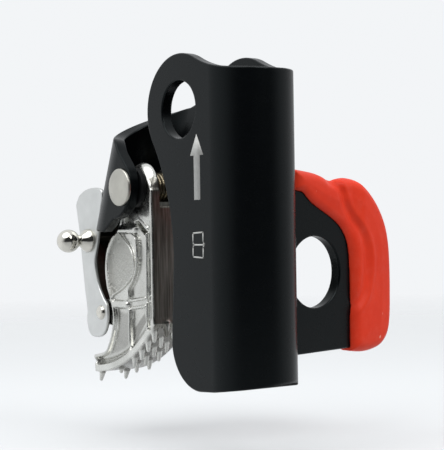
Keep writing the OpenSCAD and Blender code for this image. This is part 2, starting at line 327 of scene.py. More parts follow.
class Look(Nodes):
    """A material round one Principled shader."""

    def __init__(self, name):
        self.material = bpy.data.materials.new(name)
        self.material.use_nodes = True
        super().__init__(self.material.node_tree)
        self.shader = self.tree.nodes["Principled BSDF"]
        self.place = self.node("ShaderNodeTexCoord", output="Object")

    def set(self, socket, value):
        self.feed(self.shader.inputs[socket], value)

    def source(self, socket):
        """What one of the shader's sockets is linked to."""
        return self.shader.inputs[socket].links[0].from_socket

    def scaled(self, *scale):
        inputs = {"Vector": self.place, "Scale": Vector(scale)}
        return self.node("ShaderNodeMapping", inputs, "Vector")

    def noise(self, scale, detail=3, rough=0.55, at=None, distortion=0):
        inputs = {"Vector": self.place if at is None else at, "Scale": scale, "Detail": detail,
                  "Roughness": rough, "Distortion": distortion}
        return self.node("ShaderNodeTexNoise", inputs, "Fac")

    def drift(self, scale, detail, low=0, high=1, rough=0.55):
        """Noise that wanders from low to high."""
        return self.range(self.noise(scale, detail, rough), 0.3, 0.7, low, high)

    def spots(self, scale):
        inputs = {"Vector": self.place, "Scale": scale}
        return self.node("ShaderNodeTexVoronoi", inputs, "Distance")

    def mask(self, name):
        return self.node("ShaderNodeAttribute", output="Fac", attribute_name=name)

    def bump(self, height, distance, strength):
        """Adds a bump of a height field, in millimetres, to the shader's normal."""
        inputs = {"Distance": distance * MM, "Strength": strength, "Height": height}
        if self.shader.inputs["Normal"].links:
            inputs["Normal"] = self.source("Normal")
        self.set("Normal", self.node("ShaderNodeBump", inputs))


def anodised_sheet():
    look = Look("black_anodised_sheet")
    look.set("Specular IOR Level", 0.16)
    look.set("Specular Tint", (0.86, 0.98, 1))
    base = look.mix(look.drift(60, 4), (0.0016, 0.002, 0.0024), (0.002, 0.0025, 0.003))
    dust = look.range(look.spots(900), 0.03, 0.07, 1, 0)
    few = look.range(look.noise(140, 1), 0.62, 0.66)
    dust = look.math("MULTIPLY", dust, few)
    look.set("Base Color", look.mix(dust, base, (0.05, 0.053, 0.056)))
    look.set("Roughness", look.drift(380, 4, 0.25, 0.28))
    look.bump(look.noise(5200, 2, 0.6), 0.01, 0.5)
    return look.material


def red_rubber():
    look = Look("red_moulded_rubber")
    look.set("Specular IOR Level", 0.15)
    base = look.mix(look.drift(95, 5, rough=0.6), (0.72, 0.036, 0.012), (0.8, 0.052, 0.02))
    chalk = look.range(look.noise(420, 6, 0.72), 0.5, 0.78)
    base = look.mix(look.math("MULTIPLY", chalk, 0.25), base, (0.78, 0.13, 0.09))
    streak = look.noise(700, 2, 0.5, look.scaled(1, 1, 0.28), 0.8)
    scuff = look.range(streak, 0.7, 0.735)
    where = look.range(look.noise(210, 2), 0.56, 0.62)
    scuff = look.math("MULTIPLY", scuff, where)
    look.set("Base Color", look.mix(scuff, base, (0.86, 0.42, 0.34)))
    look.set("Roughness", look.drift(300, 4, 0.36, 0.52))
    look.bump(look.noise(1500, 4, 0.6), 0.03, 0.5)
    look.bump(look.noise(220, 2), 0.12, 0.5)
    return look.material


def steel(name, dark, light, low, high, scale, streaks=(1, 1, 1), pits=0, bump=0.012):
    """A bare metal with drifting colour, streaky roughness and a fine grain."""
    look = Look(name)
    look.set("Metallic", 1)
    look.set("Base Color", look.mix(look.drift(scale * 0.3, 5), dark, light))
    drawn = look.noise(scale, 5, 0.6, look.scaled(*streaks))
    look.set("Roughness", look.range(drawn, 0.3, 0.7, low, high))
    look.bump(drawn, bump, 0.6)
    look.bump(look.noise(4200, 2), 0.005, 0.5)
    if pits:
        look.bump(look.range(look.spots(1500), 0.05, 0.35), pits, 0.6)
    return look


def cast_steel():
    """The cam: tumbled casting, a sandy recess, a brushed rope side, and painted shade there, in
    hollows and between teeth.
    """
    look = steel("tumbled_cast_steel", (0.57, 0.57, 0.54), (0.72, 0.72, 0.69), 0.16, 0.34, 420,
                 bump=0.05)
    sand, brushed_and_painted_shade = look.mask("sand"), look.mask("brushed_and_painted_shade")
    grit = look.math("MULTIPLY", look.noise(2400, 3, 0.7), sand)
    look.bump(grit, 0.5, 0.9)
    lines = look.noise(2300, 3, 0.6, look.scaled(1, 1, 0.03))
    look.bump(look.math("MULTIPLY", lines, brushed_and_painted_shade), 0.05, 0.8)
    # painted shade and dark reflection for the rope side, the hub's side and the fork's inside,
    # streaked like the brushing
    shade = look.mix(look.range(lines, 0.35, 0.65), (0.14, 0.135, 0.12), (0.36, 0.355, 0.32))
    clean = look.mix(look.math("MULTIPLY", sand, 0.9), look.source("Base Color"),
                     (0.56, 0.56, 0.53))
    # painted shade: darker colour in the deep parts of the faces, the groove, the facet and between
    # the teeth
    clean = look.mix(look.mask("painted_recess_shade"), clean, (0.22, 0.215, 0.2))
    look.set("Base Color", look.mix(brushed_and_painted_shade, clean, shade))
    rough = look.math("MAXIMUM", look.source("Roughness"), look.math("MULTIPLY", sand, 0.42))
    look.set("Roughness", look.math("MAXIMUM", rough, look.math("MULTIPLY", brushed_and_painted_shade, 0.4)))
    return look.material


def stamped(name):
    return steel(name, (0.6, 0.61, 0.6), (0.68, 0.69, 0.68), 0.3, 0.42, 700, (1, 1, 0.3))


def stamped_lever():
    """Satin stamped plate, with painted shade darkening its inner sides."""
    look = stamped("satin_stamped_lever")
    # painted shade on the lever's inner sides, with a noisy tone
    inner_shade = look.mix(look.noise(900, 4), (0.01, 0.009, 0.008), (0.045, 0.042, 0.036))
    look.set("Base Color", look.mix(look.mask("inside"), look.source("Base Color"), inner_shade))
    return look.material


def plain_dark():
    look = Look("dark_washer")
    look.set("Specular IOR Level", 0.15)
    grime = look.mix(look.noise(800, 3), (0.002, 0.0025, 0.003), (0.006, 0.0065, 0.007))
    look.set("Base Color", grime)
    look.set("Roughness", look.drift(1200, 3, 0.45, 0.62))
    look.bump(look.noise(2600, 2), 0.01, 0.5)
    return look.material


def printed_grey():
    look = Look("grey_mark")
    worn = look.range(look.noise(900, 4), 0.35, 0.7)
    look.set("Base Color", look.mix(worn, (0.56, 0.56, 0.54), (0.48, 0.48, 0.46)))
    look.set("Roughness", look.drift(1500, 3, 0.45, 0.6))
    look.bump(look.noise(5200, 2), 0.008, 0.5)
    return look.material


SHEET_LOOK = anodised_sheet()
RUBBER_LOOK = red_rubber()
CAST_LOOK = cast_steel()
STAMPED_LOOK = stamped("satin_stamped_steel").material
LEVER_LOOK = stamped_lever()
RIVET_LOOK = steel("warm_pitted_rivet_steel", (0.42, 0.41, 0.37), (0.54, 0.53, 0.48), 0.27, 0.4,
                   600, pits=0.05).material
POLISHED_LOOK = steel("polished_knob_steel", (0.64, 0.62, 0.56), (0.74, 0.72, 0.67), 0.06, 0.14,
                      300, bump=0.003).material
SPRING_LOOK = steel("straw_spring_wire", (0.17, 0.145, 0.1), (0.27, 0.23, 0.16), 0.24, 0.36,
                    900).material
DARK_LOOK = plain_dark()
MARK_LOOK = printed_grey()


# ---- sheet frame

BEND_AXIS = np.array([sin(BEND_LEAN), cos(BEND_LEAN)])
BEND_LEFT = np.array([-cos(BEND_LEAN), sin(BEND_LEAN)])
FLAP_ARC = pi / 2 - FLAP_TURN
FLAP_MID = FLAP_R + SHEET / 2
FLAP_START = HALF_TURN + FLAP_MID * FLAP_ARC - FLAP_R  # where the flap's u is 0


def to_bend(x, z):
    """How far (x, z) is along the axle bend, and how far across it."""
    px, pz = x - BEND[0], z - BEND[1]
    return px * BEND_AXIS[0] + pz * BEND_AXIS[1], px * BEND_LEFT[0] + pz * BEND_LEFT[1]


def from_bend(along, across):
    """The (x, z) of a place along and across the axle bend."""
    return (BEND[0] + along * BEND_AXIS[0] + across * BEND_LEFT[0],
            BEND[1] + along * BEND_AXIS[1] + across * BEND_LEFT[1])


def bent(s, z, n, flap):
    """The flat pattern's point (s, z), n outward from the sheet's middle, as bent.

    s is 0 at the front fold of the rope channel and HALF_TURN at its rear fold. Past
    that, flap says whether the point is on the grip flap or on the axle's side.
    """
    phi = np.clip(s, 0, HALF_TURN) / MID_R
    out = np.stack([(MID_R + n) * np.sin(phi) + np.minimum(s, 0),
                    -(MID_R + n) * np.cos(phi), z], -1)
    beyond = s - HALF_TURN
    # the flap: a tight bend the other way, then flat
    turn = np.minimum(beyond / FLAP_MID, FLAP_ARC)
    run = np.maximum(beyond - FLAP_MID * FLAP_ARC, 0)
    across, ahead = np.sin(turn), np.cos(turn)
    rear = np.stack([-(FLAP_MID - n) * across - run * ahead,
                     OUTER_R + FLAP_R - (FLAP_MID - n) * ahead + run * across, z], -1)
    # the axle side: flat, round the leaning bend, and flat again
    t, d = to_bend(-beyond, z)
    psi = np.clip(d, 0, HALF_TURN) / MID_R
    across = np.where(d < 0, d, (MID_R + n) * np.sin(psi) - np.maximum(d - HALF_TURN, 0))
    side_x, side_z = from_bend(t, across)
    side = np.stack([side_x, (MID_R + n) * np.cos(psi), side_z], -1)
    past = (beyond > 0)[:, None]
    return np.where(past & (flap > 0)[:, None], rear, np.where(past, side, out))


def unfolded(x, z):
    """The pattern point of a place (x, z) on the rear plate."""
    return (HALF_TURN - x, z)


def unfolded_bracket(x, z):
    """The pattern point of a place (x, z) on the front bracket."""
    along, across = to_bend(x, z)
    return unfolded(*from_bend(along, HALF_TURN - across))


def bend_point(psi, height, slope=0):
    """The pattern point at an angle round the axle bend, on a plane z = height + slope * y."""
    z = height + slope * MID_R * cos(psi)
    along = (z - BEND[1] - MID_R * sin(psi) * BEND_LEFT[1]) / BEND_AXIS[1]
    return unfolded(*from_bend(along, MID_R * psi))


def corner_drop(psi):
    """How far the bend's top edge is cut down where it runs into the bracket's edge."""
    return 2.9 * np.clip((psi - 2.6) / 0.54, 0, 1) ** 2


def hump_points(last):
    """The outline above the eye as (x, z), from the channel's top edge back to the hump."""
    saddle_x = 9
    up = CHANNEL_TOP - EYE[1]
    radius = ((saddle_x - EYE[0]) ** 2 + up ** 2 - HUMP_R ** 2) / (2 * (HUMP_R - up))
    centre = (saddle_x, CHANNEL_TOP + radius)
    toward = degrees(atan2(centre[1] - EYE[1], centre[0] - EYE[0]))
    saddle = arc(centre, radius, 270, 180 + toward, 24)
    return saddle, arc(EYE, HUMP_R, toward + 3, last, 36)


def over_channel(points, rear):
    """Pattern points of an outline (x, z) on the front or rear sheet and its half channel."""
    out = []
    for x, z in points:
        s = x if x <= 0 else MID_R * asin(min(x / MID_R, 1))
        out.append((HALF_TURN - s if rear else s, z))
    return out


FLAP_EDGE = ([(25.5, -32.1), (28, -30.8)] + arc((34, -26), 4, -80, 0, 6)
             + arc((28, -6), 10, 0, 70, 8) + [(24, 5), (16, 6.5)])


def flap_point(u, v):
    return (FLAP_START + u, v)


def frame_pattern():
    """The sheet's flat outline, anticlockwise, and its holes, clockwise, as (s, z, flap)."""
    waist_x, waist_z = -15.2, -8.8
    waist_dx = waist_x - EYE[0]
    waist_r = (waist_dx ** 2 + (EYE[1] - waist_z) ** 2 - HUMP_R ** 2) / (2 * (HUMP_R + waist_dx))
    waist = (waist_x - waist_r, waist_z)
    waist_a = degrees(atan2(waist[1] - EYE[1], waist[0] - EYE[0])) + 360
    saddle, hump = hump_points(waist_a)
    rear_saddle, rear_hump = hump_points(150)
    low_corner = [(0, -39), (3, -38.6), (6, CHANNEL_BOTTOM)]
    low_x = BEND[0] + (BEND_LOW - BEND[1]) * tan(BEND_LEAN)
    slope = tan(BEND_SLOPE)
    notch_a = acos(NOTCH_Y / MID_R)
    start = arc((-5.2, -28.1), 11.2, 180, 268, 22)
    start += over_channel(low_corner, False) + over_channel(low_corner, True)[::-1]
    flap = [(HALF_TURN, -33.2), (HALF_TURN + 0.6, -32.8), flap_point(3, -32.6)]
    flap += [flap_point(u, v) for u, v in FLAP_EDGE + [(3, 7.8)]]
    side = [(HALF_TURN + 0.1, 8.2), (HALF_TURN - 0.5, 8.8)]
    side += arc((HALF_TURN + 0.7, 10.1), 1.6, 210, 110, 8)
    low_edge = curve([(-2, 11.9), (-8, 11.4), (-14, 10), (-22, 7.2), (-29, 3.6),
                      (-36.6, -0.2), (-38.6, -1.4), (-40.6, -2), (low_x, BEND_LOW)], 4)
    side += over_channel(low_edge, True)
    side += [bend_point(a, BEND_LOW) for a in np.linspace(0, notch_a, 8)[1:]]
    side += [bend_point(a, NOTCH_TOP) for a in np.linspace(notch_a, pi - notch_a, 16)]
    side += [bend_point(a, BEND_LOW) for a in np.linspace(pi - notch_a, pi, 8)]
    side += [unfolded_bracket(x, z) for x, z in arc((-42, 9.5), 8.3, 272, 395, 34)]
    side += [bend_point(a, BEND_TOP - corner_drop(a), slope) for a in np.linspace(pi, 0, 40)]
    rear_top = [(-27.2, 31.4), (-25.2, 31.9)] + rear_hump[::-1] + rear_saddle[-2::-1]
    side += over_channel(rear_top, True) + over_channel(saddle, False)
    side += hump + arc(waist, waist_r, waist_a - 181, 0, 26)
    outline = [(*p, 0) for p in start] + [(*p, 1) for p in flap] + [(*p, 0) for p in side]
    holes = [[(*p, 0) for p in arc(eye, EYE_R, 360, 5, 71)] for eye in (EYE, unfolded(*EYE))]
    holes.append([(*p, 1) for p in arc(flap_point(*FLAP_HOLE), FLAP_HOLE_R, 360, 4, 89)])
    return outline, holes


def bend_lines():
    """Lines across the pattern that the facets of every bend follow, as (s, z, flap)."""
    lines = []
    for s in np.linspace(0, HALF_TURN, 49):
        lines.append([(s, z, 0) for z in np.arange(-36.5, 33.6, 3.5)])
    for s in HALF_TURN + np.linspace(0.6, FLAP_MID * FLAP_ARC, 10):
        lines.append([(s, z, 1) for z in np.linspace(-30.5, 7, 12)])
    for psi in np.linspace(0, pi, 41):
        in_notch = abs(cos(psi)) * MID_R < NOTCH_Y + 0.6
        low = np.array(bend_point(psi, (NOTCH_TOP if in_notch else BEND_LOW) + 0.9))
        top = np.array(bend_point(psi, BEND_TOP - 0.9 - corner_drop(psi), tan(BEND_SLOPE)))
        lines.append([(*p, 0) for p in np.linspace(low, top, 8)])
    return lines


def spread(points):
    """Shears the flap down and the axle side up, because their flat patterns overlap."""
    p = np.array(points, float)
    past = np.maximum(p[:, 0] - HALF_TURN, 0)
    return np.c_[p[:, 0], p[:, 1] + np.where(p[:, 2] > 0, -past, past)]


def unspread(points):
    """Undoes spread, and says again which points are on the flap."""
    past = np.maximum(points[:, 0] - HALF_TURN, 0)
    flap = (past > 0) & (points[:, 1] < FLAP_TOP)
    return np.c_[points[:, 0], points[:, 1] + np.where(flap, past, -past), flap]


def sheet_mesh(outline, holes, lines, edge):
    """Points, faces and normals of the bent sheet, with rounded edges."""
    half = SHEET / 2
    coords, edges, loops = [], [], []
    for loop in [outline, *holes]:
        flat = np.array(loop, float)
        flat[:, :2] = offset_loop(flat[:, :2], -edge)[0]
        first, count = len(coords), len(loop)
        loops.append(spread(flat))
        coords += [*loops[-1]]
        edges += [(first + i, first + (i + 1) % count) for i in range(count)]
    for line in lines:
        first = len(coords)
        coords += [*spread(line)]
        edges += [(first + i, first + i + 1) for i in range(len(line) - 1)]
    flat, _, triangles, *_ = delaunay_2d_cdt([Vector(p) for p in coords], edges, [], 0, 1e-5)
    flat, triangles = np.array([*map(tuple, flat)]), np.array(triangles)
    x, z = flat[triangles].mean(1).T
    kept = inside(loops[0], x, z)
    for hole in loops[1:]:
        kept &= ~inside(hole, x, z)
    triangles = triangles[kept]
    a, b, c = (flat[triangles[:, i]] for i in range(3))
    (x0, z0), (x1, z1) = (b - a).T, (c - a).T
    clockwise = x0 * z1 < z0 * x1
    triangles[clockwise] = triangles[clockwise][:, ::-1]
    used = np.unique(triangles)
    renamed = np.full(len(flat), -1)
    renamed[used] = np.arange(len(used))
    flat, triangles = unspread(flat[used]), renamed[triangles]
    count = len(flat)

    def layer(points, depth):
        return np.c_[points[:, :2], np.full(len(points), depth), points[:, 2]]

    rows = [layer(flat, half), layer(flat, -half)]
    tilt = [np.tile((0, 0, 1, 0), (count, 1)), np.tile((0, 0, -1, 0), (count, 1))]
    faces = [list(t) for t in triangles] + [list(t[::-1] + count) for t in triangles]
    directed = {(t[i], t[(i + 1) % 3]) for t in triangles.tolist() for i in range(3)}
    follow = {i: j for i, j in directed if (j, i) not in directed}
    total = 2 * count
    angles = np.radians([30, 60, 90])
    while follow:
        loop = [min(follow)]
        while follow[loop[-1]] != loop[0]:
            loop.append(follow[loop[-1]])
        for i in loop:
            follow.pop(i)
        rim, size = flat[loop], len(loop)
        moved, out = offset_loop(rim[:, :2], edge)
        ladder = [np.array(loop)]
        for sign, turns in ((1, angles), (-1, angles[::-1])):
            for angle in turns:
                at = rim.copy()
                at[:, :2] += (moved - rim[:, :2]) * sin(angle)
                rows.append(layer(at, sign * (half - edge * (1 - cos(angle)))))
                lean = np.zeros((size, 4))
                lean[:, :2], lean[:, 2] = out * sin(angle), sign * cos(angle)
                tilt.append(lean)
                ladder.append(total + np.arange(size))
                total += size
        ladder.append(np.array(loop) + count)
        for upper, lower in zip(ladder, ladder[1:]):
            faces += [[upper[i], lower[i], lower[(i + 1) % size], upper[(i + 1) % size]]
                      for i in range(size)]
    rows, tilt = np.concatenate(rows), np.concatenate(tilt)
    points = bent(*rows.T)
    normals = bent(*(rows + tilt * 1e-3).T) - points
    normals /= np.linalg.norm(normals, axis=1)[:, None]
    return points, faces, normals


def make_frame():
    outline, holes = frame_pattern()
    points, faces, normals = sheet_mesh(outline, holes, bend_lines(), edge=0.45)
    piece("sheet_frame", points, faces, SHEET_LOOK, "body_frame", "anodised_sheet", ["frame"],
          normals)


# ---- cam

ARC_CENTRE, ARC_R = (-60, -0.45), 38.5
ARC_FROM, ARC_TO = -88.6, -40.3
CAM_RIGHT, HUB_R = -30.9, 6.4
CAM_STEP = 0.18  # cell of the cam's grid
FORK_FLOOR, FORK_HALF = 4.3, 3.6
WEB = 5.4  # half thickness of the thin web between the rims
CAM_OUTLINE = curve([(-43.9, 7.6), (-46.9, -1), (-50.2, -3.6), (-52.5, -6.7), (-53.5, -11.5),
    (-52.8, -16.2), (-50.8, -20.5), (-50, -23.9), (-50.6, -27.4), (-52.2, -30.9), (-54.3, -33.2),
    (-59.6, -34.4)], 5)
CAM_OUTLINE += arc(ARC_CENTRE, ARC_R, ARC_FROM, ARC_TO, 36)
CAM_OUTLINE += [(CAM_RIGHT, -23.4), (CAM_RIGHT, 0.8), (-31.3, 8.1)]
LEAF = rounded([(-46.9, -2.2), (-43.9, -4.2), (-41.4, -6.2), (-40.1, -8.4), (-39.6, -10.5),
    (-40.2, -12.5), (-42, -14.4), (-45.7, -16.7), (-49.4, -18.2), (-51, -19.2), (-51.6, -17.4),
    (-52.2, -14.4), (-52.6, -11), (-52.1, -7.8), (-50.5, -5), (-48.6, -3.2)])
CRESCENT = rounded([(-46.9, -1.4), (-43, -2), (-39.6, -3.2), (-38.5, -5.6), (-38.4, -8.6),
    (-39, -11.6), (-40.5, -14.3), (-42.4, -16.4), (-43.2, -19.4), (-51.2, -20.2), (-54, -12),
    (-50.9, -3.9)])
GROOVE = rounded([(-48.7, -22.4), (-45.5, -22.2), (-43.1, -22.6), (-42.9, -27), (-43.4, -31),
    (-47, -33.2), (-52, -34.4), (-57.8, -36.2), (-58.6, -35.4), (-54, -34), (-50.9, -31.6),
    (-49.2, -27.2)])
POCKET = [(-39.8, 0.3), (-37.6, 0.6), (-34.3, -2.4), (-35, -3.6)]
FACET = [(-41.4, -26.8), (-36.2, -22.4), (-35.4, -24.6), (-41.4, -31.2)]


def bead(distance, width):
    """Height of a half-round bead of height 1, at a distance from its middle."""
    return np.sqrt(np.maximum(1 - (distance / width) ** 2, 0))


def cam_face(x, z, flat):
    """Half thickness of the cam, with the relief cast into both of its faces."""
    from_arc = ARC_R - away(ARC_CENTRE, x, z)
    in_leaf = -outline_distance(LEAF, x, z)
    in_crescent = -outline_distance(CRESCENT, x, z)
    in_groove = -outline_distance(GROOVE, x, z)
    full = CAM_HALF - WEB
    face = np.full(in_leaf.shape, WEB)
    face += 0.25 * rise(-0.2, 0.3, in_crescent)
    beads = np.maximum(bead(in_crescent, 0.34), bead(in_leaf, 0.3))
    face = np.maximum(face, WEB + 0.95 * full * beads)
    rim = rise(0.3, -0.1, in_leaf) * rise(-50, -51, x) * rise(-20, -19, z)
    face = np.maximum(face, WEB + 0.95 * full * rim * rise(-4.5, -6, z))
    bowl = 1 - (1 - np.clip(in_leaf / 4.5, 0, 1)) ** 2
    face -= rise(0.1, 0.8, in_leaf) * (0.1 + 0.45 * rise(-52, -49, x) + 1.35 * bowl)
    face -= 1.3 * (1 - (1 - np.clip(in_groove / 2.6, 0, 1)) ** 2)
    facet = rise(-0.1, 0.35, -outline_distance(FACET, x, z))
    face -= facet * (0.35 + 0.11 * np.clip(-24 - z, 0, 6))
    upper = rise(-1.2, 3.4, z - 0.2 + 0.3 * (x + 40))
    face = np.maximum(face, WEB + full * upper)
    # the ribs' height, half width and middle line
    ribs = [(full, 1.25, [(-46.4, -1.3), (-39.8, -1.5)]),
            (full, 1.15, [(-49.4, -20.7), (-44, -20.7)]),
            (0.45, 0.4, [(-43.8, -19.8), (-35.8, -18.8)]),
            (0.45, 0.4, [(-43.8, -21.8), (-35.8, -20.8)]),
            (full, 0.55, [(-42.2, -22), (-42.35, -32.4)]),
            (full, 0.5, [(-37.2, 1.8), (-33.4, -1.2)]),
            (0.8, 0.45, [(-34.1, -2.6), (-34.4, -19)]),
            (0.8, 0.45, [(-34.4, -20), (-34.7, -27.4)])]
    for height, width, line in ribs:
        face = np.maximum(face, WEB + height * bead(line_distance(line, x, z), width))
    lip = 1 - rise(0.75, 1.2, -flat)
    band = (1 - rise(1.8, 2.3, from_arc)) * (x > -60.5)
    face = np.maximum(face, WEB + full * np.maximum(lip, band))
    face -= 0.55 * np.exp(-((from_arc - 2.9) / 0.45) ** 2) * rise(-34, -36, x)
    for low, high in ((-18, -7.4), (-26.6, -20.2)):
        slot = np.maximum(np.abs(x + 32.9) - 0.6, np.maximum(low - z, z - high))
        face -= 1.5 * rise(0.15, -0.2, slot)
    return face - 2.4 * rise(-0.1, 0.4, -outline_distance(POCKET, x, z))


TOOTH = 3.15  # length of a tooth with the part that is sunk
# each column's y, its teeth's length, and their angles on the arc
TEETH = ((-5.3, TOOTH, (-85.5, -60.8, -55, -49.5, -44)), (-4.6, 2, (-73,)),
         (-2.2, TOOTH, (-67, -60, -53.5, -47.5, -41.5)),
         (0.6, TOOTH, (-81.5, -64.5, -57, -50.8, -44.5)), (3.4, TOOTH, (-49, -42.5)))


def add_teeth(field, x, y, z):
    """Grows the teeth, as slender rounded cones with a cast fillet at the foot."""
    sunk, wide, tip = 1, 1, 0.46
    reach = 4.5  # a tooth changes the field no further from its foot
    low = np.array([x.flat[0], y.flat[0], z.flat[0]])
    for foot_y, length, a in [(y0, size, a) for y0, size, turns in TEETH for a in turns]:
        lean = radians(-90 + 0.5 * (a + 45))
        dx, dz = cos(lean), sin(lean)
        foot = np.array([min(ARC_CENTRE[0] + ARC_R * cos(radians(a)), CAM_RIGHT - 0.4), foot_y,
                         ARC_CENTRE[1] + ARC_R * sin(radians(a))])
        start = np.maximum(((foot - reach - low) / CAM_STEP).astype(int), 0)
        end = ((foot + reach - low) / CAM_STEP).astype(int)
        part = tuple(slice(i, j) for i, j in zip(start, end))
        px, py, pz = x[part[0]] - foot[0], y[:, part[1]] - foot[1], z[:, :, part[2]] - foot[2]
        along = px * dx + pz * dz + sunk
        t = np.clip(along / length, 0, 1)
        off = np.sqrt((px * dz - pz * dx) ** 2 + py ** 2)
        radius = tip + (wide - tip) * (1 - t) ** 0.9
        beyond = np.maximum(np.abs(along - length / 2) - length / 2, 0)
        field[part] = smooth_min(field[part], np.hypot(beyond, off) - radius, 0.25)
    return field


def cam_field(x, y, z):
    flat = outline_distance(CAM_OUTLINE, x, z)
    hub = away(AXLE, x, z)
    flat = smooth_min(flat, hub - HUB_R, 1.2)
    soft = 0.7 + 3 * rise(8, 13, z)
    field = smooth_max(flat, np.abs(y) - cam_face(x, z, flat), soft)
    bevel = away(ARC_CENTRE, x, z) - ARC_R + 0.6 * np.maximum(y - 3.8, 0)
    field = np.where(z < -20, smooth_max(field, bevel * 0.85, 0.4), field)
    fork = np.maximum(np.abs(y) - FORK_HALF, FORK_FLOOR - z)
    field = smooth_max(field, -fork, 0.6)
    from_lug = away(LUG, x, z)
    arm = [(LUG[0], LUG[1] + 3), (-49.7, -18.2), (-49.2, -26.9), (LUG[0], LUG[1] - 3)]
    lug = smooth_min(from_lug - LUG_R, outline_distance(arm, x, z), 0.8)
    lug = smooth_max(lug, np.abs(y) - 5.2, 0.6)
    gap = np.maximum(np.maximum(np.abs(y) - 2.2, np.abs(z - LUG[1]) - 4), x - LUG[0] - 3.6)
    lug = smooth_max(lug, -gap, 0.3)
    field = smooth_min(field, lug, 0.8)
    field = add_teeth(field, x, y, z)
    field = smooth_max(field, SLEEVE_R + PLAY - hub, 0.3)
    return smooth_max(field, PIN_R + PLAY - from_lug, 0.2)


def grains(x, z, size):
    """Smooth random hollows and grains from -1 to 1, of a given size."""
    table = np.random.RandomState(7).uniform(-1, 1, (256, 256))
    u, v = (x + 100) / size, (z + 100) / size
    i, j = u.astype(int), v.astype(int)
    s, t = rise(0, 1, u - i), rise(0, 1, v - j)
    i, j = i % 255, j % 255
    low = table[i, j] * (1 - s) + table[i + 1, j] * s
    high = table[i, j + 1] * (1 - s) + table[i + 1, j + 1] * s
    return low * (1 - t) + high * t


def make_cam():
    points, faces = cast(cam_field, (-62.2, -7.4, -44), (-29.2, 7.4, 16.6), CAM_STEP)
    px, py, pz = points.T
    sand = rise(0, 0.35, -outline_distance(LEAF, px, pz)) * rise(2.8, 3.2, np.abs(py))
    points[:, 1] += 0.1 * sand * grains(px, pz, 0.42)
    side = np.abs(py)
    # the brushed rope side, the hub's side and the fork's inside: brushed streaks, and painted
    # shade in the colour
    brushed_and_painted_shade = rise(-31.6, -31.15, px) * rise(6.3, 6, side) * rise(-30.4, -30.7, px)
    hub_side = rise(12.2, 10.8, pz) * rise(-35.6, -33.6, px) * rise(6.2, 5.9, side)
    fork = rise(FORK_FLOOR - 1.2, FORK_FLOOR - 0.4, pz) * rise(FORK_HALF + 0.6, FORK_HALF, side)
    brushed_and_painted_shade = np.maximum(brushed_and_painted_shade, np.maximum(hub_side * rise(-1, 1, pz), fork))
    flat = outline_distance(CAM_OUTLINE, px, pz)
    face = cam_face(px, pz, flat)
    on_face = rise(0.3, 0.12, np.abs(side - face)) * rise(0, -0.3, flat)
    # painted shade for the deep parts of the faces, the groove, the facet and the arc between the
    # teeth
    deep = on_face * np.clip((CAM_HALF - face - 0.9) / 1.6, 0, 1) * (1 - sand)
    deep *= rise(-3, -4, pz)
    groove = rise(0, 1.2, -outline_distance(GROOVE, px, pz)) * rise(3.6, 3.9, side)
    facet = on_face * rise(-0.1, 0.3, -outline_distance(FACET, px, pz))
    from_arc = away(ARC_CENTRE, px, pz) - ARC_R
    between = rise(0.5, 0.25, np.abs(from_arc)) * rise(6.3, 5.6, side) * rise(-20, -22, pz)
    painted_recess_shade = np.max([0.9 * deep, 0.55 * groove, 0.75 * facet, 0.8 * between], axis=0)
    piece("toothed_cam", points, faces, CAST_LOOK, "body_cam", "cast_steel", ["cam"],
          masks={"sand": sand, "brushed_and_painted_shade": brushed_and_painted_shade, "painted_recess_shade": painted_recess_shade})


# ---- rubber grip

COVER_T, COVER_SKIN = 8, 1.5
COVER_OUTER = curve([(6.2, 12.7), (10, 12.3), (14.2, 11.7), (18, 10.6), (20.4, 10), (22.6, 10.4),
    (25.4, 10.7), (28.6, 10.1), (32.3, 7.9), (36, 4.1), (38.8, -0.7), (40.2, -6), (40.6, -12),
    (40.6, -18.2), (40.3, -25), (39.2, -29.3), (36.7, -32), (33, -33.1), (29.3, -33.3),
    (25.6, -32.8)], 4)
COVER_INNER = curve([(25.2, -31), (25.3, -22), (25.2, -12.5), (24.8, -8.2), (23.6, -4.6),
    (21.5, -1.9), (18.5, 0.2), (14.8, 2.1), (12, 3.6), (10, 5.1), (8.4, 6.5), (6.2, 7.5)], 4)
FLAP_PLATE = [(-8, -32.6)] + FLAP_EDGE + [(-8, 9)]
FOLD_INNER = curve([(18.6, 9.6), (21.4, 8.4), (22.6, 6.6), (23.3, 4), (25.6, 0.8), (28.2, -2.8),
    (29.7, -6.4), (30.1, -10.6), (29.9, -14.2), (28.9, -17.7), (27.2, -20.4), (25.2, -22.4)], 5)
FOLD_OUTER = curve([(23.2, 9.4), (24, 6), (26.4, 1.8), (29.2, -1.5), (31.2, -4.6), (32.2, -8.2),
    (32.1, -12.5), (31.4, -16), (30.2, -19.2), (28.2, -21.9), (25.8, -24.1)], 5)


def on_flap(u, n, v):
    """The place of (u, n, v): u along the flap, n outward from its near face, v up."""
    ahead, across = cos(FLAP_TURN), sin(FLAP_TURN)
    x, y = n - FLAP_R, u - FLAP_R
    return np.stack([x * ahead - y * across, OUTER_R + FLAP_R + x * across + y * ahead, v], -1)


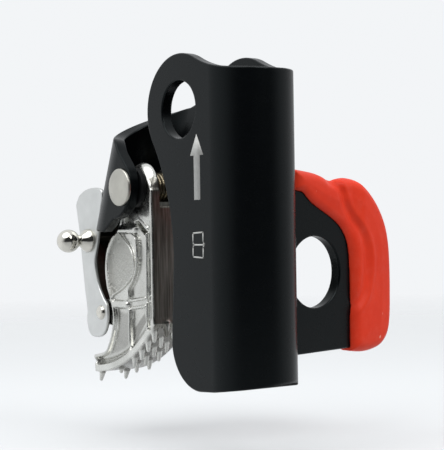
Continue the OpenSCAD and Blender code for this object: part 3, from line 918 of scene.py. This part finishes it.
def cover_field(u, n, v):
    flat = outline_distance(COVER_OUTER + COVER_INNER, u, v)
    side = n + SHEET / 2
    beyond = rise(-2.2, 2.4, u - 27 - 0.1 * v)
    half = SHEET / 2 + COVER_SKIN + (COVER_T / 2 - SHEET / 2 - COVER_SKIN) * beyond
    half -= 0.1 * np.clip(flat + 5, 0, 5)
    inner, outer = line_distance(FOLD_INNER, u, v), line_distance(FOLD_OUTER, u, v)
    fade = rise(-26, -20, v)
    groove = 0.75 * np.exp(-(inner / 1.25) ** 2) - 0.22 * np.exp(-(outer / 0.8) ** 2)
    half = half - groove * (0.3 + 0.7 * fade)
    roll = 2.6  # radius of the rubber's long edges
    a, b = flat + roll, np.abs(side) - half + roll
    field = np.minimum(np.maximum(a, b), 0) + np.hypot(np.maximum(a, 0), np.maximum(b, 0)) - roll
    plate = np.maximum(outline_distance(FLAP_PLATE, u, v), np.abs(side) - SHEET / 2)
    return np.maximum(field, -(plate + 0.04))


def make_cover():
    points, faces = cast(cover_field, (5.4, -6.3, -34.4), (42, 3.3, 13.8), 0.24)
    piece("rubber_grip", on_flap(*points.T), faces, RUBBER_LOOK, "body_frame", "red_rubber",
          ["grip_cover"])


# ---- catch lever

LEVER_LEFT = [(-68, 6.4), (-68.4, 5.2), (-67.6, 1.6), (-66.8, -1.8), (-65.6, -9.9), (-64.4, -17.3),
    (-63.3, -22.6)]
LEVER_OUTLINE = curve([(-63.3, -22.6), (-62.8, -26), (-61.9, -28.5), (-60.1, -29.6), (-57.6, -29.7),
    (-55.3, -29.1), (-53.7, -27.8), (-52.7, -25.6), (-52.4, -23.2), (-53, -20.9), (-54.6, -19.2),
    (-56.9, -15.8), (-58.5, -10), (-57.2, -5), (-56, 0.5)], 4)
LEVER_OUTLINE += curve([(-55, 5), (-54.2, 7.6), (-54.9, 9), (-57, 9.6), (-60.4, 9.6), (-63.4, 9),
    (-66.2, 7.7), (-68, 6.4)], 4)
LEVER_OUTLINE += LEVER_LEFT[1:-1]


def lever_field(x, y, z):
    flat = outline_distance(LEVER_OUTLINE, x, z)
    fold = line_distance(LEVER_LEFT, x, z)
    soft = 0.35 + 1.1 * rise(2.6, 0.6, fold)
    outside = smooth_max(flat, np.abs(y) - LEVER_HALF, soft)
    web = np.maximum(fold - LEVER_T - 0.05, np.maximum(z - 5.6, -22.6 - z))
    hollow = smooth_max(np.abs(y) - LEVER_HALF + LEVER_T, -web, 0.9)
    field = smooth_max(outside, -hollow, 0.3)
    field = smooth_max(field, PIN_R - away(LUG, x, z), 0.15)
    return smooth_max(field, SHANK_R - away(KNOB, x, z), 0.15)


def make_lever():
    points, faces = cast(lever_field, (-69.4, -7.2, -30.6), (-51.4, 7.2, 10.6), 0.2)
    px, py, pz = points.T
    # the lever's inner sides, where the colour gets painted shade
    hidden = rise(LEVER_HALF - 0.5, LEVER_HALF - 0.8, np.abs(py))
    hidden *= rise(0.2, 0.5, line_distance(LEVER_LEFT, px, pz))
    piece("stamped_catch_lever", points, faces, LEVER_LOOK, "body_catch", "stamped_steel",
          ["catch_lever"], masks={"inside": hidden})


# ---- turned pieces

def dome(edge_r, edge_y, top_y, rim):
    """Profile of a shallow head from its rim to its crown, outward along -y."""
    out = arc((edge_r - rim, edge_y), rim, 0, -70, 5)
    r0, y0 = out[-1]
    for t in np.linspace(0, 1, 10)[1:]:
        r = r0 * (1 - t)
        out.append((r, top_y + (y0 - top_y) * (r / r0) ** 2))
    return out


def make_axle():
    head, head_r = -OUTER_R, 4.7
    collar_y = OUTER_R + 0.8
    profile = [(0, OUTER_R + 1.7), (2.4, OUTER_R + 1.62), (2.8, OUTER_R + 1.45),
               (3.5, OUTER_R + 1), (3.6, collar_y), (RIVET_R, collar_y),
               (RIVET_R, head), (4.6, head), (head_r, head - 0.12)]
    profile += dome(head_r, head - 0.45, head - 1.25, 0.35)
    piece("axle_rivet_body", *turned(profile, AXLE), RIVET_LOOK, "body_frame", "rivet_steel",
          ["axle_rivet"])
    bore, washer_r = SLEEVE_R + PLAY, 5
    outer_y, inner_y = CHANNEL_R - WASHER_GAP, CAM_HALF + WASHER_GAP
    rings = [("rear_collar", "axle_rear_collar", RIVET_R, 4.6, OUTER_R, collar_y,
              RIVET_LOOK, "rivet_steel"),
             ("cam_sleeve", "axle_sleeve", RIVET_R, SLEEVE_R, -CHANNEL_R, CHANNEL_R,
              STAMPED_LOOK, "stamped_steel"),
             ("front_washer", "axle_washer_front", bore, washer_r, -outer_y, -inner_y,
              DARK_LOOK, "washer_dark"),
             ("rear_washer", "axle_washer_rear", bore, washer_r, inner_y, outer_y,
              DARK_LOOK, "washer_dark")]
    for name, node, inner, outer, y0, y1, look, slot in rings:
        profile = ring_profile(inner, outer, y0, y1)
        piece(name, *turned(profile, AXLE), look, "body_frame", slot, [node])


def make_pin():
    crown = [(0, -0.62), (0.35, -0.66), (0.6, -0.8), (0.85, -0.84), (1.15, -0.76),
             (1.5, -0.55), (1.78, -0.28), (1.9, -0.02), (1.9, 0)]
    profile = [(r, -LEVER_HALF + y) for r, y in crown]
    profile += [(PIN_R, -LEVER_HALF), (PIN_R, LEVER_HALF)]
    profile += [(r, LEVER_HALF - y) for r, y in crown[::-1]]
    piece("catch_pivot_pin", *turned(profile, LUG), POLISHED_LOOK, "body_catch", "rivet_steel",
          ["catch_pivot"])
    profile = ring_profile(PIN_R, 1.85, -2.15, 2.15, 0.1)
    piece("catch_pin_sleeve", *turned(profile, LUG), STAMPED_LOOK, "body_catch", "stamped_steel",
          ["catch_sleeve"])


def make_knob():
    plate = -LEVER_HALF
    neck_r = 1.75
    start = degrees(asin(neck_r / KNOB_BALL_R))
    turns = np.radians(np.linspace(start, 180, 34))
    ball = [(KNOB_BALL_R * sin(a), KNOB_BALL_Y + KNOB_BALL_R * cos(a)) for a in turns]
    neck = curve([(3, plate), (3.12, plate - 0.35), (2.85, plate - 0.95), (2.25, plate - 1.6),
                  (1.65, plate - 2.4), (1.42, plate - 3.2), (1.5, plate - 3.9), ball[0]], 5)
    profile = [(0, -plate + 0.9), (0.7, -plate + 0.85), (1.1, -plate + 0.6),
               (SHANK_R, -plate + 0.3), (SHANK_R, plate), (2.85, plate)]
    profile += neck[1:] + ball[1:-1] + [(0, ball[-1][1])]
    piece("ball_knob", *turned(profile, KNOB, sides=128), POLISHED_LOOK, "body_catch",
          "polished_steel", ["pull_knob"])
    profile = ring_profile(SHANK_R, 2.2, LEVER_HALF, LEVER_HALF + 0.5, 0.12)
    piece("knob_rear_washer", *turned(profile, KNOB), RIVET_LOOK, "body_catch", "rivet_steel",
          ["knob_washer"])


def make_springs():
    """Both torsion springs, each from its coil's radius, turns, two ends and two legs."""
    path = coil(AXLE, 3.35, 5.5, -2.9, 2.9, (-9.5, -2.9, 1), (3.35, 2.9, -2.5))
    piece("cam_torsion_spring", *wire(path, 0.48), SPRING_LOOK, "body_frame", "spring_wire",
          ["cam_spring"])
    path = coil(LUG, 2.3, 4.5, -1.6, 1.6, (-5.9, -1.6, 2.4), (2.4, 1.6, 4.4))
    piece("catch_torsion_spring", *wire(path, 0.32), SPRING_LOOK, "body_catch", "spring_wire",
          ["catch_spring"])


# ---- surface mark

def mark(name, outlines):
    """Thin grey marks on the front flange, from their outlines in (x, z)."""
    top, base = -OUTER_R - 0.03, -OUTER_R + 0.05
    points, faces = [], []
    for outline in outlines:
        first, count = len(points), len(outline)
        points += [(x, y, z) for y in (top, base) for x, z in outline]
        rings = [list(range(count)), list(range(count, 2 * count))[::-1]]
        rings += [[i, i + count, (i + 1) % count + count, (i + 1) % count] for i in range(count)]
        faces += [[first + i for i in ring] for ring in rings]
    piece(name, points, faces, MARK_LOOK, "body_frame", "anodised_sheet")


def make_marks():
    """The up arrow beside the rope channel, and an open book: read the manual."""
    middle, tip_z, wing_z, foot_z, wing, shaft = -4.9, 20.4, 15.5, 5.2, 2.6, 1.2
    arrow = [(-shaft, foot_z), (shaft, foot_z), (shaft, wing_z), (wing, wing_z), (0, tip_z),
             (-wing, wing_z), (-shaft, wing_z)]
    mark("up_arrow_mark", [[(middle + x, z) for x, z in arrow]])
    corners = [(-6.9, -8), (-6.9, -5.8), (-6.6, -5.2), (-6.9, -4.6), (-6.9, -2.5), (-2.9, -2.3),
               (-2.9, -4.6), (-2.4, -5.2), (-2.9, -5.8), (-2.9, -8.2)]
    bars, line_half = [], 0.17
    for start, end in [*zip(corners, corners[1:] + corners[:1]), ((-6.6, -5.2), (-2.4, -5.2))]:
        along = np.subtract(end, start) / dist(start, end) * line_half
        side = np.array([along[1], -along[0]])
        bars.append([start - along + side, end + along + side, end + along - side,
                     start - along - side])
    mark("book_mark", bars)


make_frame()
make_cam()
make_cover()
make_lever()
make_axle()
make_pin()
make_knob()
make_springs()
make_marks()

# ---- stage

AZIMUTH = radians(53.5)
RIGHT = Vector((cos(AZIMUTH), sin(AZIMUTH), 0))
AHEAD = Vector((-sin(AZIMUTH), cos(AZIMUTH), 0))
UP = Vector((0, 0, 1))
CAMERA_BACK, CAMERA_LEFT, CAMERA_DROP = 326, 6.15, 0.7  # millimetres from the origin
CAMERA_ROLL = radians(0.9)
FLOOR_Z, FLOOR_R = -0.055, 0.85  # metres, as are the lights' places and sizes
AIM = Vector((-0.02, 0.01, 0))
BACKDROP = (0.895, 0.912, 0.93)
SIDE_LIGHT = Vector((-0.8, -0.59, 0.1)).normalized()
DARK_CARD = (RIGHT * 0.3 - AHEAD).normalized()


def make_camera():
    data = bpy.data.cameras.new("camera")
    data.lens, data.sensor_width = 112, 36
    data.clip_start, data.clip_end = 0.01, 50
    camera = placed("camera", data)
    camera.location = (AHEAD * -CAMERA_BACK + RIGHT * -CAMERA_LEFT + UP * -CAMERA_DROP) * MM
    camera.rotation_mode = "QUATERNION"
    roll = UP * cos(CAMERA_ROLL) + RIGHT * sin(CAMERA_ROLL)
    basis = Matrix((AHEAD.cross(roll), roll, -AHEAD)).transposed()
    camera.rotation_quaternion = basis.to_quaternion()
    bpy.context.scene.camera = camera


def area_light(name, place, size, watts):
    """A round soft light that points at the object."""
    data = bpy.data.lights.new(name, "AREA")
    data.shape, data.size, data.energy = "DISK", size, watts
    lamp = placed(name, data)
    lamp.location = place
    lamp.rotation_mode = "QUATERNION"
    lamp.rotation_quaternion = (AIM - place).to_track_quat("-Z", "Y")


def lobe(sky, direction, low, high):
    """A smooth patch of the sky around a direction: 1 inside, 0 outside."""
    ray = sky.node("ShaderNodeTexCoord", output="Generated")
    dot = sky.node("ShaderNodeVectorMath", {0: ray, 1: direction}, "Value",
                   operation="DOT_PRODUCT")
    return sky.range(dot, low, high, kind="SMOOTHSTEP")


def make_world():
    """A pale backdrop, and a soft studio around it: bright above, dark cards in front."""
    world = bpy.data.worlds.new("studio")
    bpy.context.scene.world = world
    world.use_nodes = True
    sky = Nodes(world.node_tree)
    room = sky.mix(lobe(sky, UP, -0.7, 0.9), (0.42, 0.425, 0.43), (0.9, 0.92, 0.94))
    room = sky.mix(lobe(sky, SIDE_LIGHT, 0.5, 0.95), room, (0.92, 0.94, 0.96))
    room = sky.mix(lobe(sky, DARK_CARD, 0.25, 0.8), room, (0.03, 0.031, 0.033))
    eye = sky.node("ShaderNodeLightPath", output="Is Camera Ray")
    sky.feed(sky.tree.nodes["Background"].inputs["Color"], sky.mix(eye, room, BACKDROP))


def make_floor():
    """A pale floor that fades into the backdrop away from the object."""
    mesh = bpy.data.meshes.new("floor")
    rim = [(x, z, 0) for x, z in arc((0, 0), FLOOR_R, 0, 360, 96)[:-1]]
    mesh.from_pydata(rim, [], [list(range(len(rim)))])
    floor = placed("floor", mesh)
    floor.location = AHEAD * 0.15 + UP * FLOOR_Z
    look = Look("pale_floor")
    look.set("Roughness", 0.9)
    look.set("Specular IOR Level", 0.2)
    look.set("Base Color", look.mix(look.noise(3, 2), (0.7, 0.715, 0.725), (0.725, 0.74, 0.75)))
    reach = look.node("ShaderNodeVectorMath", {0: look.place}, "Value", operation="LENGTH")
    clear = look.node("ShaderNodeBsdfTransparent")
    both = look.node("ShaderNodeMixShader", {0: look.range(reach, -0.15, 0.6),
                                             1: look.shader.outputs[0], 2: clear})
    look.feed(look.tree.nodes["Material Output"].inputs["Surface"], both)
    mesh.materials.append(look.material)


make_camera()
make_world()
make_floor()
area_light("key", AHEAD * -0.25 + RIGHT * -0.25 + UP * 0.6, 0.8, 3.5)
area_light("fill", AHEAD * -0.35 + RIGHT * 0.35 + UP * 0.45, 0.4, 2.2)
bpy.context.scene.view_settings.view_transform = "Standard"
